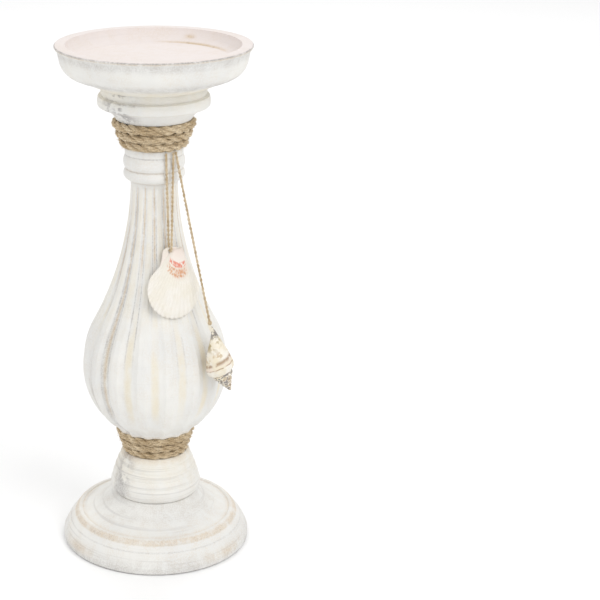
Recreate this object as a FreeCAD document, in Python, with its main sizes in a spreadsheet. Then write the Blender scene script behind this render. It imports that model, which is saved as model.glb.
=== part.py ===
import FreeCAD, Part
import math
import os

import Sketcher
from FreeCAD import Placement, Rotation, Vector

# A turned wooden pillar-candle stick. The origin is the middle of its underside, +Z is up,
# +X is to the right and -Y is the front, where two shells hang from the upper rope.
# Lengths are in millimetres, and azimuths in degrees from the front towards the right.
sizes = {
    # felt pad let into the underside
    "felt_inset": 5.5,
    "felt_thickness": 1.5,
    "felt_recess": 1.2,
    # turned base: an upright edge, a sloping shoulder, a ring and a cove up to the hub
    "base_radius": 54.0,
    "base_height": 29.5,
    "edge_chamfer": 0.8,
    "edge_height": 3.9,
    "shoulder_inset": 6.6,
    "shoulder_rise": 14.6,
    "ring_inset": 10.8,
    "ring_rise": 3.0,
    "ring_curve": 3.4,
    "cove_curve": 34.0,
    # ribbed hub between the base and the lower rope
    "hub_foot_radius": 23.4,
    "hub_radius": 26.6,
    "hub_top_radius": 18.4,
    "hub_height": 25.2,
    "hub_swell": 1.0,
    "rib_curve": 4.6,
    # fluted stem: belly, waist (where the curve turns over) and neck
    "lip_radius": 22.5,
    "lip_edge": 0.6,
    "belly_radius": 41.2,
    "belly_rise": 38.3,
    "waist_radius": 35.4,
    "waist_rise": 24.0,
    "neck_radius": 12.9,
    "neck_rise": 84.6,
    "neck_overrun": 3.4,
    "flute_offset": 1.303,
    "flute_width": 0.347,
    "flute_end": 2.6,
    # collar of two beads and a plain band over the neck
    "collar_foot": 14.3,
    "collar_groove": 15.7,
    "collar_band": 16.1,
    "low_bead": 6.3,
    "high_bead": 7.9,
    "band_height": 4.4,
    "low_bead_curve": 3.7,
    "high_bead_curve": 6.6,
    # ropes wound three times round the joints of the turning
    "rope_turns": 3,
    "turn_curve_share": 0.52,
    "low_rope_foot": 16.1,
    "low_rope_head": 20.6,
    "low_rope_height": 14.4,
    "high_rope_foot": 15.8,
    "high_rope_head": 21.4,
    "high_rope_height": 15.1,
    "rope_depth": 2.3,
    "rope_gap": 0.1,
    # capital under the dish
    "capital_foot": 20.8,
    "capital_radius": 30.5,
    "capital_groove": 28.4,
    "capital_cap_radius": 28.6,
    "capital_cove": 7.3,
    "capital_bead": 6.0,
    "capital_cap": 4.1,
    "capital_curve": 14.0,
    "capital_bead_curve": 4.6,
    "capital_cap_curve": 3.2,
    # candle dish
    "dish_radius": 53.3,
    "dish_height": 23.0,
    "dish_flare": 0.6,
    "dish_flare_rise": 5.8,
    "dish_wall_inset": 2.7,
    "dish_wall_rise": 14.0,
    "dish_curve": 0.795,
    "lip_drop": 3.0,
    "lip_flare": 1.4,
    "lip_thickness": 1.1,
    "lip_round": 0.4,
    "rim_width": 6.0,
    "well_depth": 7.0,
    "floor_inset": 12.8,
    "well_curve": 8.6,
    # dowels, screw and the seats they go into
    "fit_gap": 0.05,
    "dowel_radius": 4.0,
    "dish_dowel_length": 18.0,
    "neck_dowel_length": 24.0,
    "blind_gap": 0.5,
    "spigot_radius": 12.0,
    "spigot_length": 6.0,
    "tenon_radius": 9.0,
    "tenon_length": 9.0,
    "screw_radius": 2.4,
    "screw_length": 80.0,
    "screw_point": 6.0,
    "screw_head_radius": 4.5,
    "screw_head_height": 2.8,
    "screw_gap": 0.4,
    "washer_radius": 7.5,
    "washer_thickness": 1.2,
    "pocket_gap": 0.7,
    "pocket_depth": 9.0,
    # twine and the shells that hang on it
    "twine_radius": 0.55,
    "scallop_azimuth": 24.0,
    "scallop_tilt": 15.0,
    "scallop_hole_reach": 20.1,
    "scallop_hole_drop": 55.0,
    "scallop_hole_radius": 1.45,
    "scallop_drop": 21.6,
    "scallop_shift": -0.2,
    "scallop_rim_radius": 15.6,
    "scallop_cup_depth": 5.5,
    "scallop_wall": 1.4,
    "hinge_top": 2.4,
    "hinge_left": 4.2,
    "hinge_right": 6.8,
    "hinge_spread": 12.5,
    "hinge_length": 15.0,
    "whelk_radius": 7.5,
    "whelk_length": 38.0,
    "whelk_tip_radius": 0.9,
    "whelk_canal": 6.0,
    "whelk_shoulder": 18.0,
    "whelk_whorl": 6.5,
    "knot_radius": 1.4,
}

os.makedirs("parts", exist_ok=True)
document = FreeCAD.newDocument("candlestick")
sheet = document.addObject("Spreadsheet::Sheet", "Sizes")
for row, (alias, number) in enumerate(sizes.items(), 1):
    sheet.set(f"A{row}", alias)
    sheet.set(f"B{row}", str(number))
    sheet.setAlias(f"B{row}", alias)
document.recompute()


class Size:
    """A length: its value now, and the expression that works it out from the sheet."""

    def __init__(self, value, text):
        self.value = value
        self.text = text

    def joined(self, sign, other, value):
        return Size(value, f"({self.text} {sign} {other.text})")

    def __add__(self, other):
        other = as_size(other)
        return self.joined("+", other, self.value + other.value)

    def __sub__(self, other):
        other = as_size(other)
        return self.joined("-", other, self.value - other.value)

    def __mul__(self, other):
        other = as_size(other)
        return self.joined("*", other, self.value * other.value)

    def __truediv__(self, other):
        other = as_size(other)
        return self.joined("/", other, self.value / other.value)


def as_size(number):
    return number if isinstance(number, Size) else Size(number, str(number))


def size(alias):
    return Size(sheet.get(alias), f"Sizes.{alias}")


def root(square):
    return Size(math.sqrt(square.value), f"sqrt({square.text})")


def rounding(across, along):
    """The radius of an arc that starts along the axis and moves off by across over along."""
    return (across * across + along * along) / (across * 2)


# Heights of the seams and shoulders, from the bottom up.
base_bottom = size("felt_thickness") - size("felt_recess")
base_top = base_bottom + size("base_height")
hub_top = base_top + size("hub_height")
low_rope_top = hub_top + size("low_rope_height")
foot_seam = hub_top + size("low_rope_height") / 2
belly_bottom = low_rope_top + size("rope_gap") * 2
belly_level = belly_bottom + size("belly_rise")
waist_level = belly_level + size("waist_rise")
collar_bottom = waist_level + size("neck_rise")
collar_top = collar_bottom + size("low_bead") + size("high_bead") + size("band_height")
high_rope_top = collar_top + size("high_rope_height")
neck_seam = collar_top + size("high_rope_height") / 2
capital_top = high_rope_top + size("capital_cove") + size("capital_bead") + size("capital_cap")
dish_top = capital_top + size("dish_height")

# Radii that follow a wider one.
felt_radius = size("base_radius") - size("felt_inset")
shoulder_radius = size("base_radius") - size("shoulder_inset")
ring_radius = size("base_radius") - size("ring_inset")
pocket_radius = size("washer_radius") + size("pocket_gap")
dish_wall_radius = size("dish_radius") - size("dish_wall_inset")


def origin_plane(body, role):
    return next(plane for plane in body.Origin.OriginFeatures if plane.Role == role)


def arc_between(start, end, radius):
    """The arc of a signed radius: positive bulges to the right of the way from start to end."""
    middle = (start + end) / 2
    half = (end - start) / 2
    reach = math.sqrt(radius * radius - half.Length * half.Length)
    left = Vector(-half.y, half.x, 0).normalize()
    centre = middle + left * math.copysign(reach, radius)
    first, last = (start, end) if radius > 0 else (end, start)
    angles = [math.atan2(point.y - centre.y, point.x - centre.x) for point in (first, last)]
    circle = Part.Circle(centre, Vector(0, 0, 1), abs(radius))
    return Part.ArcOfCircle(circle, *angles)


def draw_outline(sketch, points):
    """A closed outline through (radius, height) points, each place held by the sheet.

    A third entry is the signed radius of the arc that leads to the next point.
    """
    corners = [Vector(point[0].value, point[1].value, 0) for point in points]
    ends = []
    for i, point in enumerate(points):
        start, end = corners[i], corners[(i + 1) % len(points)]
        if len(point) == 3:
            edge = sketch.addGeometry(arc_between(start, end, point[2].value))
            ends.append((edge, 1, 2) if point[2].value > 0 else (edge, 2, 1))
            bound = sketch.addConstraint(Sketcher.Constraint("Radius", edge, abs(point[2].value)))
            sketch.setExpression(f"Constraints[{bound}]", f"abs({point[2].text})")
        else:
            edge = sketch.addGeometry(Part.LineSegment(start, end))
            ends.append((edge, 1, 2))
    for i, (edge, start, _) in enumerate(ends):
        before, _, end = ends[i - 1]
        sketch.addConstraint(Sketcher.Constraint("Coincident", before, end, edge, start))
        for kind, place, axis in (("DistanceX", points[i][0], -2), ("DistanceY", points[i][1], -1)):
            if place.value == 0:
                sketch.addConstraint(Sketcher.Constraint("PointOnObject", edge, start, axis))
                continue
            held = Sketcher.Constraint(kind, -1, 1, edge, start, place.value)
            bound = sketch.addConstraint(held)
            sketch.setExpression(f"Constraints[{bound}]", place.text)


def new_sketch(body, name, role):
    sketch = body.newObject("Sketcher::SketchObject", name)
    sketch.AttachmentSupport = (origin_plane(body, role), "")
    sketch.MapMode = "FlatFace"
    return sketch


def turned(name, points):
    """A body turned about the vertical axis from the outline on its right side."""
    body = document.addObject("PartDesign::Body", name)
    body.Label = name
    sketch = new_sketch(body, f"{name}_outline", "XZ_Plane")
    draw_outline(sketch, points)
    turning = body.newObject("PartDesign::Revolution", f"{name}_turning")
    turning.Profile = sketch
    turning.ReferenceAxis = (sketch, ["V_Axis"])
    turning.Angle = 360
    return body


def rod(name, radius, length, bottom):
    """An upright round rod on the main axis."""
    cylinder = document.addObject("Part::Cylinder", name)
    cylinder.Label = name
    cylinder.setExpression("Radius", radius.text)
    cylinder.setExpression("Height", length.text)
    cylinder.setExpression("Placement.Base.z", bottom.text)
    return cylinder


zero = as_size(0.0)


def felt_disc():
    return rod("felt_disc", felt_radius, size("felt_thickness"), zero)


def base():
    edge_top = base_bottom + size("edge_height")
    shoulder = base_bottom + size("shoulder_rise")
    ring_top = shoulder + size("ring_rise")
    pocket_top = base_bottom + size("pocket_depth")
    recess = base_top - size("spigot_length") - size("blind_gap")
    screw_hole = size("screw_radius") + size("screw_gap")
    felt_seat = size("felt_thickness")
    felt_edge = felt_radius + size("fit_gap")
    return turned("base", [
        (pocket_radius, felt_seat),
        (felt_edge, felt_seat),
        (felt_edge, base_bottom),
        (size("base_radius") - size("edge_chamfer"), base_bottom),
        (size("base_radius"), base_bottom + size("edge_chamfer")),
        (size("base_radius"), edge_top, size("cove_curve")),
        (shoulder_radius, shoulder),
        (shoulder_radius - 0.5, shoulder + 0.5, size("ring_curve")),
        (ring_radius, ring_top),
        (ring_radius - 0.6, ring_top - 0.4, size("cove_curve") * -1),
        (size("hub_foot_radius") + 0.6, base_top - 0.4),
        (size("hub_foot_radius") - 0.4, base_top),
        (size("spigot_radius") + size("fit_gap"), base_top),
        (size("spigot_radius") + size("fit_gap"), recess),
        (screw_hole, recess),
        (screw_hole, pocket_top),
        (pocket_radius, pocket_top),
    ])


def foot_hub():
    """A cone of stacked round ribs, with a spigot below and a socket above."""
    ribs = 6
    fall = size("hub_radius") - size("hub_top_radius")
    rise = size("hub_height") / ribs
    screw_hole = size("screw_radius") + size("screw_gap")
    socket = size("tenon_radius") + size("fit_gap")
    socket_floor = foot_seam - size("tenon_length") - size("blind_gap")
    stack = []
    for i in range(ribs):
        share = i / ribs
        swell = size("hub_swell") * (4 * share * (1 - share))
        radius = size("hub_radius") - fall * share + swell if i else size("hub_foot_radius")
        stack.append((radius, base_top + rise * i, size("rib_curve")))
    return turned("foot_hub", [
        (screw_hole, base_top - size("spigot_length")),
        (size("spigot_radius"), base_top - size("spigot_length")),
        (size("spigot_radius"), base_top),
        *stack,
        (size("hub_top_radius"), hub_top),
        (rope_seat("low", 0), hub_top),
        (rope_seat("low", 0.5), foot_seam),
        (socket, foot_seam),
        (socket, socket_floor),
        (screw_hole, socket_floor),
    ])


def rope_line(which, share):
    """The radius of the middle of a wound rope, a share of the way up the winding."""
    foot = size(f"{which}_rope_foot")
    head = size(f"{which}_rope_head")
    return foot + (head - foot) * share


def rope_seat(which, share):
    """The radius of the wood that the rope is wound on."""
    return rope_line(which, share) - size("rope_depth") - size("rope_gap")


def belly_arc_low():
    return rounding(size("belly_radius") - size("lip_radius"), size("belly_rise") - size("lip_edge"))


def belly_arc_high():
    return rounding(size("belly_radius") - size("waist_radius"), size("waist_rise"))


def neck_arc():
    reach = size("neck_rise") + size("neck_overrun")
    return rounding(size("waist_radius") - size("neck_radius"), reach)


def neck_radius_at(level):
    """The radius of the hollow curve from the waist up into the collar."""
    arc = neck_arc()
    below = collar_bottom + size("neck_overrun") - level
    return size("neck_radius") + arc - root(arc * arc - below * below)


def belly_radius_at(level, arc):
    away = level - belly_level
    return size("belly_radius") - arc + root(arc * arc - away * away)


def stem_turning():
    """The stem before fluting: tenon, rope seat, belly, neck, collar and rope seat."""
    bead_joint = collar_bottom + size("low_bead")
    band_bottom = bead_joint + size("high_bead")
    dowel_hole = size("dowel_radius") + size("fit_gap")
    dowel_floor = neck_seam - size("neck_dowel_length") / 2 - size("blind_gap")
    pilot = size("screw_radius") + size("fit_gap")
    pilot_top = screw_seat() + size("screw_length") + size("blind_gap")
    tenon_bottom = foot_seam - size("tenon_length")
    return turned("stem", [
        (pilot, tenon_bottom),
        (size("tenon_radius"), tenon_bottom),
        (size("tenon_radius"), foot_seam),
        (rope_seat("low", 0.5), foot_seam),
        (rope_seat("low", 1), belly_bottom),
        (size("lip_radius"), belly_bottom),
        (size("lip_radius"), belly_bottom + size("lip_edge"), belly_arc_low()),
        (size("belly_radius"), belly_level, belly_arc_high()),
        (size("waist_radius"), waist_level, neck_arc() * -1),
        (neck_radius_at(collar_bottom), collar_bottom),
        (size("collar_foot"), collar_bottom, size("low_bead_curve")),
        (size("collar_groove"), bead_joint, size("high_bead_curve")),
        (size("collar_groove"), band_bottom),
        (size("collar_band"), band_bottom + 0.4),
        (size("collar_band"), collar_top - 0.4),
        (size("collar_band") - 0.4, collar_top),
        (rope_seat("high", 0), collar_top),
        (rope_seat("high", 0.5), neck_seam),
        (dowel_hole, neck_seam),
        (dowel_hole, dowel_floor),
        (zero, dowel_floor),
        (zero, pilot_top),
        (pilot, pilot_top),
    ])


def flute_section(body, number, level, radius):
    """One round section of the flute cutter, in proportion to the stem at its height."""
    sketch = new_sketch(body, f"flute_section_{number}", "XY_Plane")
    sketch.setExpression("AttachmentOffset.Base.z", level.text)
    centre = radius * size("flute_offset")
    width = radius * size("flute_width")
    circle = Part.Circle(Vector(centre.value, 0, 0), Vector(0, 0, 1), width.value)
    edge = sketch.addGeometry(circle)
    sketch.addConstraint(Sketcher.Constraint("PointOnObject", edge, 3, -1))
    placed = sketch.addConstraint(Sketcher.Constraint("DistanceX", -1, 1, edge, 3, centre.value))
    sketch.setExpression(f"Constraints[{placed}]", centre.text)
    sized = sketch.addConstraint(Sketcher.Constraint("Radius", edge, width.value))
    sketch.setExpression(f"Constraints[{sized}]", width.text)
    return sketch


def stem():
    """The turned stem with sixteen flutes, which run out at the lip under the belly."""
    flutes = 16
    body = stem_turning()
    low, high = belly_arc_low(), belly_arc_high()
    lip = belly_bottom + size("lip_edge")
    belly = size("belly_rise")
    neck = size("neck_rise")
    places = [
        (belly_bottom - size("lip_edge") * 3, size("lip_radius")),
        (lip, size("lip_radius")),
        *[(lip + belly * share, belly_radius_at(lip + belly * share, low))
          for share in (0.2, 0.42, 0.66)],
        (belly_level, size("belly_radius")),
        (belly_level + size("waist_rise") / 2,
         belly_radius_at(belly_level + size("waist_rise") / 2, high)),
        *[(waist_level + neck * share, neck_radius_at(waist_level + neck * share))
          for share in (0, 0.2, 0.4, 0.6, 0.8)],
        (collar_bottom - size("flute_end"), neck_radius_at(collar_bottom - size("flute_end"))),
    ]
    sections = [
        flute_section(body, i, level, radius) for i, (level, radius) in enumerate(places)
    ]
    document.recompute()
    plain_volume = body.Shape.Volume
    flute = body.newObject("PartDesign::SubtractiveLoft", "flute")
    flute.Profile = sections[0]
    flute.Sections = sections[1:]
    document.recompute()
    pattern = body.newObject("PartDesign::PolarPattern", "flutes")
    pattern.Originals = [flute]
    pattern.Axis = (sections[0], ["N_Axis"])
    pattern.Angle = 360
    pattern.Occurrences = flutes
    body.Tip = pattern
    document.recompute()
    print(f"flutes took {plain_volume - body.Shape.Volume:.0f} mm3")
    return body


def capital():
    cove_top = high_rope_top + size("capital_cove")
    groove = cove_top + size("capital_bead")
    dish_hole = size("dowel_radius") + size("fit_gap")
    low_hole_top = neck_seam + size("neck_dowel_length") / 2 + size("blind_gap")
    high_hole_floor = capital_top - size("dish_dowel_length") / 2 - size("blind_gap")
    return turned("capital", [
        (dish_hole, neck_seam),
        (rope_seat("high", 0.5), neck_seam),
        (rope_seat("high", 1), high_rope_top),
        (size("capital_foot"), high_rope_top + 0.2, size("capital_curve") * -1),
        (size("capital_radius") - 0.5, cove_top),
        (size("capital_radius"), cove_top + 0.4, size("capital_bead_curve") * 2),
        (size("capital_radius") - 0.3, groove - 0.5),
        (size("capital_groove"), groove),
        (size("capital_cap_radius"), groove + 0.5, size("capital_cap_curve") * 2),
        (size("capital_cap_radius"), capital_top),
        (dish_hole, capital_top),
        (dish_hole, high_hole_floor),
        (zero, high_hole_floor),
        (zero, low_hole_top),
        (dish_hole, low_hole_top),
    ])


def dish():
    """A shallow candle dish with a flat rim and a sunk floor."""
    hole = size("dowel_radius") + size("fit_gap")
    hole_top = capital_top + size("dish_dowel_length") / 2 + size("blind_gap")
    flare_foot = size("capital_cap_radius")
    flare = (dish_wall_radius - flare_foot) * size("dish_flare")
    wall_bottom = capital_top + size("dish_wall_rise")
    lip_bottom = dish_top - size("lip_drop")
    floor = dish_top - size("well_depth")
    return turned("dish", [
        (hole, capital_top),
        (flare_foot, capital_top),
        (flare_foot + flare, capital_top + size("dish_flare_rise"), flare * size("dish_curve")),
        (dish_wall_radius, wall_bottom),
        (size("dish_radius") - size("lip_flare"), lip_bottom),
        (size("dish_radius"), dish_top - size("lip_thickness")),
        (size("dish_radius"), dish_top - size("lip_round")),
        (size("dish_radius") - size("lip_round"), dish_top),
        (size("dish_radius") - size("rim_width"), dish_top, size("well_curve") * -1),
        (size("dish_radius") - size("floor_inset"), floor),
        (zero, floor),
        (zero, hole_top),
        (hole, hole_top),
    ])


def dish_dowel():
    length = size("dish_dowel_length")
    return rod("dish_dowel", size("dowel_radius"), length, capital_top - length / 2)


def neck_dowel():
    length = size("neck_dowel_length")
    return rod("neck_dowel", size("dowel_radius"), length, neck_seam - length / 2)


def screw_seat():
    return base_bottom + size("pocket_depth") - size("washer_thickness")


def base_washer():
    hole = size("screw_radius") + size("screw_gap")
    pocket_top = base_bottom + size("pocket_depth")
    return turned("base_washer", [
        (hole, screw_seat()),
        (size("washer_radius"), screw_seat()),
        (size("washer_radius"), pocket_top),
        (hole, pocket_top),
    ])


def base_screw():
    """A long wood screw that pulls the base and the hub up against the stem."""
    seat = screw_seat()
    top = seat + size("screw_length")
    return turned("base_screw", [
        (zero, seat - size("screw_head_height")),
        (size("screw_head_radius"), seat - size("screw_head_height")),
        (size("screw_head_radius"), seat),
        (size("screw_radius"), seat),
        (size("screw_radius"), top - size("screw_point")),
        (zero, top),
    ])


def rope_wrap(name, which, bottom):
    """The outer shape of a rope wound round a cone, one rounded turn above the other."""
    turns = int(sizes["rope_turns"])
    height = size(f"{which}_rope_height") / turns
    widening = (size(f"{which}_rope_head") - size(f"{which}_rope_foot")) / turns
    curve = root(height * height + widening * widening) * size("turn_curve_share")
    joints = [(rope_line(which, i / turns), bottom + height * i, curve) for i in range(turns)]
    top = bottom + size(f"{which}_rope_height")
    return turned(name, [
        (rope_line(which, 0) - size("rope_depth"), bottom),
        *joints,
        (rope_line(which, 1), top),
        (rope_line(which, 1) - size("rope_depth"), top),
    ])


def twine(name, route):
    """A round tube along straight runs joined by tangent arcs as large as the runs allow."""
    points = [Vector(*place) for place in route]
    edges = []
    at = points[0]
    for i in range(1, len(points) - 1):
        back, on = points[i - 1] - points[i], points[i + 1] - points[i]
        turn = math.pi - back.getAngle(on)
        reach = 0.45 * min(back.Length, on.Length)
        first = points[i] + back.normalize() * reach
        last = points[i] + on.normalize() * reach
        radius = reach / math.tan(turn / 2)
        inside = (back + on).normalize()
        middle = points[i] + inside * (radius / math.cos(turn / 2) - radius)
        print(f"{name} turns {math.degrees(turn):.0f} degrees on a radius of {radius:.1f} mm")
        edges.append(Part.LineSegment(at, first).toShape())
        edges.append(Part.Arc(first, middle, last).toShape())
        at = last
    edges.append(Part.LineSegment(at, points[-1]).toShape())
    path = Part.Wire(edges)
    radius = size("twine_radius").value
    section = Part.Wire([Part.Circle(points[0], points[1] - points[0], radius).toShape()])
    tube = document.addObject("Part::Feature", name)
    tube.Label = name
    tube.Shape = path.makePipeShell([section], True, False)
    expected = math.pi * radius * radius * path.Length
    print(f"{name} is {path.Length:.1f} mm long, {tube.Shape.Volume / expected:.4f} of its volume")
    return tube


# The shells and their twines hang down from the collar's top.
hang = collar_top.value
# The scallop's twine runs from the rope over the collar, through the hole and back up behind.
scallop_route = [
    (10.4, -14.2, hang - 0.7),
    (10.2, -15.3, hang - 7.5),
    (9.2, -20.7, hang - 54.5),
    (7.74, -17.26, hang - 54.75),
    (6.5, -16.9, hang - 7.5),
    (6.4, -16.3, hang - 0.7),
]
# The whelk's twine is pulled straight from the collar's edge to the knot on the shell's tip.
whelk_route = [
    (11.6, -13.0, hang - 0.7),
    (12.6, -13.3, hang - 7.5),
    (30.0, -29.1, hang - 92.9),
]
whelk_tip = Vector(30.4, -29.4, hang - 95.0)
whelk_apex = Vector(42.0, -32.1, hang - 132.0)


def bound(kind, name, **values):
    """A Part object with some of its properties taken from the sheet."""
    thing = document.addObject(kind, name)
    for key, length in values.items():
        thing.setExpression(key.replace("_", "."), length.text)
    return thing


def combined(kind, name, **links):
    thing = document.addObject(kind, name)
    for key, link in links.items():
        setattr(thing, key, link)
    return thing


def scallop_shell():
    """One valve of a scallop: a hollow cup with a flat, drilled hinge plate above it.

    Its own x runs across, y up and z out of the cup, from the middle of the hole's back.
    """
    rim = size("scallop_rim_radius")
    depth = size("scallop_cup_depth")
    wall = size("scallop_wall")
    outer = rounding(depth, rim)
    centre = dict(
        Placement_Base_x=size("scallop_shift"),
        Placement_Base_y=size("scallop_drop") * -1,
    )
    low = depth - outer
    outside = bound("Part::Sphere", "cup_outside", Radius=outer, Placement_Base_z=low, **centre)
    inside = bound("Part::Sphere", "cup_inside", Radius=outer - wall, Placement_Base_z=low, **centre)
    edge = bound("Part::Cylinder", "cup_edge", Radius=rim, Height=depth * 2, **centre)
    cup = combined("Part::Common", "cup", Base=outside, Tool=edge)
    plate = bound(
        "Part::Wedge", "hinge_plate",
        Xmin=size("hinge_spread") * -1, Xmax=size("hinge_spread"),
        Ymin=size("hinge_length") * -1, Ymax=size("hinge_top"),
        Zmin=zero, Zmax=wall, Z2min=zero, Z2max=wall,
        X2min=size("hinge_left") * -1, X2max=size("hinge_right"),
    )
    solid = combined("Part::Fuse", "valve_solid", Base=cup, Tool=plate)
    valve = combined("Part::Cut", "valve", Base=solid, Tool=inside)
    hole = bound("Part::Cylinder", "twine_hole", Radius=size("scallop_hole_radius"),
                 Height=wall * 3, Placement_Base_z=wall * -1)
    shell = combined("Part::Cut", "scallop_shell", Base=valve, Tool=hole)
    shell.Label = "scallop_shell"
    azimuth = sizes["scallop_azimuth"]
    reach = sizes["scallop_hole_reach"]
    turn = Rotation(Vector(0, 0, 1), azimuth)
    lean = Rotation(Vector(1, 0, 0), 90 - sizes["scallop_tilt"])
    place = turn.multVec(Vector(0, -reach, hang - sizes["scallop_hole_drop"]))
    shell.Placement = Placement(place, turn * lean)
    return shell


def whelk_shell():
    """A spindle-shaped sea snail shell: its own z runs from the tip to the spire's point."""
    length = size("whelk_length")
    widest = size("whelk_radius")
    shoulder = size("whelk_shoulder")
    whorl_end = shoulder + size("whelk_whorl")
    spire = length - whorl_end
    shell = turned("whelk_shell", [
        (zero, zero),
        (size("whelk_tip_radius"), zero),
        (widest * 0.33, size("whelk_canal")),
        (widest * 0.96, shoulder, size("whelk_whorl")),
        (widest * 0.93, whorl_end),
        (widest * 0.66, whorl_end + spire * 0.14),
        (widest * 0.6, whorl_end + spire * 0.36),
        (widest * 0.42, whorl_end + spire * 0.46),
        (widest * 0.36, whorl_end + spire * 0.66),
        (widest * 0.2, whorl_end + spire * 0.74),
        (widest * 0.06, length),
        (zero, length),
    ])
    shell.Placement = Placement(whelk_tip, Rotation(Vector(0, 0, 1), whelk_apex - whelk_tip))
    return shell


def whelk_knot():
    knot = bound("Part::Sphere", "whelk_knot", Radius=size("knot_radius"))
    knot.Label = "whelk_knot"
    knot.Placement = Placement(Vector(*whelk_route[-1]), Rotation())
    return knot


pieces = [
    felt_disc(),
    base(),
    foot_hub(),
    stem(),
    capital(),
    dish(),
    dish_dowel(),
    neck_dowel(),
    base_washer(),
    base_screw(),
    rope_wrap("lower_rope", "low", hub_top),
    rope_wrap("upper_rope", "high", collar_top),
    twine("scallop_twine", scallop_route),
    twine("whelk_twine", whelk_route),
    scallop_shell(),
    whelk_shell(),
    whelk_knot(),
]
document.recompute()

for thing in document.Objects:
    if "Invalid" in thing.State or "Error" in thing.State:
        raise RuntimeError(f"{thing.Label} failed: {thing.State}")
for piece in pieces:
    if piece.Shape.isNull() or not piece.Shape.isValid():
        raise RuntimeError(f"{piece.Label} has no valid shape")
for piece in pieces:
    piece.Shape.exportStep(f"parts/{piece.Label}.step")
    low, high = piece.Shape.BoundBox.ZMin, piece.Shape.BoundBox.ZMax
    print(f"{piece.Label}: {len(piece.Shape.Solids)} solid, z {low:.1f} to {high:.1f}")
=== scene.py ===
import math
import random

import bmesh
import bpy
from mathutils import Matrix, Vector, noise


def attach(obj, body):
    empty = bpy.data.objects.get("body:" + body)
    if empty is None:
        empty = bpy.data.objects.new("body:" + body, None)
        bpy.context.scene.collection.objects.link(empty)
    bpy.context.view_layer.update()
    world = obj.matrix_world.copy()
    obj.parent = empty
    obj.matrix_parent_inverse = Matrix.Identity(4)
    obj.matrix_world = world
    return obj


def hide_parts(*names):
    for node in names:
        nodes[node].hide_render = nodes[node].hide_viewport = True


# Looks for a chalk-painted wooden candlestick with two rope wraps and two hanging shells.
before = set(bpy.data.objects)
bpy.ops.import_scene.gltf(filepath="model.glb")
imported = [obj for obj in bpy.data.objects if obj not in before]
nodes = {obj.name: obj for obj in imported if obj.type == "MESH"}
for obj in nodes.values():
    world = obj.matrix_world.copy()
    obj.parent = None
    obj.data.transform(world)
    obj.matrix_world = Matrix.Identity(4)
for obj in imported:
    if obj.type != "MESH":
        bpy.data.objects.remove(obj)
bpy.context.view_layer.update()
scene = bpy.context.scene
print("frame loaded")

# camera

view = {
    "place": (0.0, -0.8687, 0.4573),
    "pitch": 70.25,
    "roll": -0.26,
    "lens": 98.45,
    "shift": 0.242,  # the stick stands left of the middle
}


def makeCamera(look):
    data = bpy.data.cameras.new("camera")
    data.lens = look["lens"]
    data.sensor_width = 36
    data.shift_x = look["shift"]
    data.clip_start = 0.01
    camera = bpy.data.objects.new("camera", data)
    pitch = Matrix.Rotation(math.radians(look["pitch"]), 4, "X")
    roll = Matrix.Rotation(math.radians(look["roll"]), 4, "Z")
    camera.matrix_world = Matrix.Translation(look["place"]) @ pitch @ roll
    scene.collection.objects.link(camera)
    scene.camera = camera


makeCamera(view)
print("camera placed")

# twines and ropes: lines first, then strands that wind round them


def smoothLine(name, places):
    # the points of a smooth line through a route
    data = bpy.data.curves.new(name, "CURVE")
    data.dimensions = "3D"
    data.resolution_u = 24
    spline = data.splines.new("NURBS")
    spline.points.add(len(places) - 1)
    for point, place in zip(spline.points, places):
        point.co = (*place, 1)
    spline.order_u = 3
    spline.use_endpoint_u = True
    route = bpy.data.objects.new(name, data)
    scene.collection.objects.link(route)
    bpy.context.view_layer.update()
    mesh = bpy.data.meshes.new_from_object(route)
    points = [vertex.co.copy() for vertex in mesh.vertices]
    bpy.data.objects.remove(route)
    bpy.data.meshes.remove(mesh)
    return points


def evenSteps(points, gap):
    # the same line with its points a fixed distance apart
    steps = [points[0].copy()]
    left = gap
    for here, there in zip(points, points[1:]):
        run = (there - here).length
        done = 0.0
        while run - done >= left:
            done += left
            steps.append(here.lerp(there, done / run))
            left = gap
        left -= run - done
    steps.append(points[-1].copy())
    return steps


def sideways(points):
    # two directions across the line at every point, carried along without twisting
    tangents = []
    for i, point in enumerate(points):
        ahead = points[min(i + 1, len(points) - 1)]
        behind = points[max(i - 1, 0)]
        tangents.append((ahead - behind).normalized())
    side = tangents[0].orthogonal().normalized()
    pairs = []
    for tangent in tangents:
        side = (side - tangent * side.dot(tangent)).normalized()
        pairs.append((side, tangent.cross(side)))
    return pairs


def windStrands(points, pairs, look, turn=0.0):
    # strands that wind right-handed round a line, each of yarns that wind the other way
    strands = []
    for strand in range(look["strands"]):
        for yarn in range(look["yarns"]):
            line = []
            travelled = 0.0
            for i, point in enumerate(points):
                if i:
                    travelled += (point - points[i - 1]).length
                side, up = pairs[i]
                angle = math.tau * (strand / look["strands"] + travelled / look["lay"]) + turn
                place = point + (side * math.cos(angle) + up * math.sin(angle)) * look["strandReach"]
                back = math.tau * (yarn / look["yarns"] - travelled / look["yarnLay"]) + strand
                place += (side * math.cos(back) + up * math.sin(back)) * look["yarnReach"]
                loose = noise.noise(point * 210 + Vector((strand * 7.3, yarn * 3.1, 0)))
                place += side * loose * look["slack"]
                line.append((place, 1 + 0.22 * noise.noise(place * 420)))
            strands.append(line)
    return strands


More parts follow.
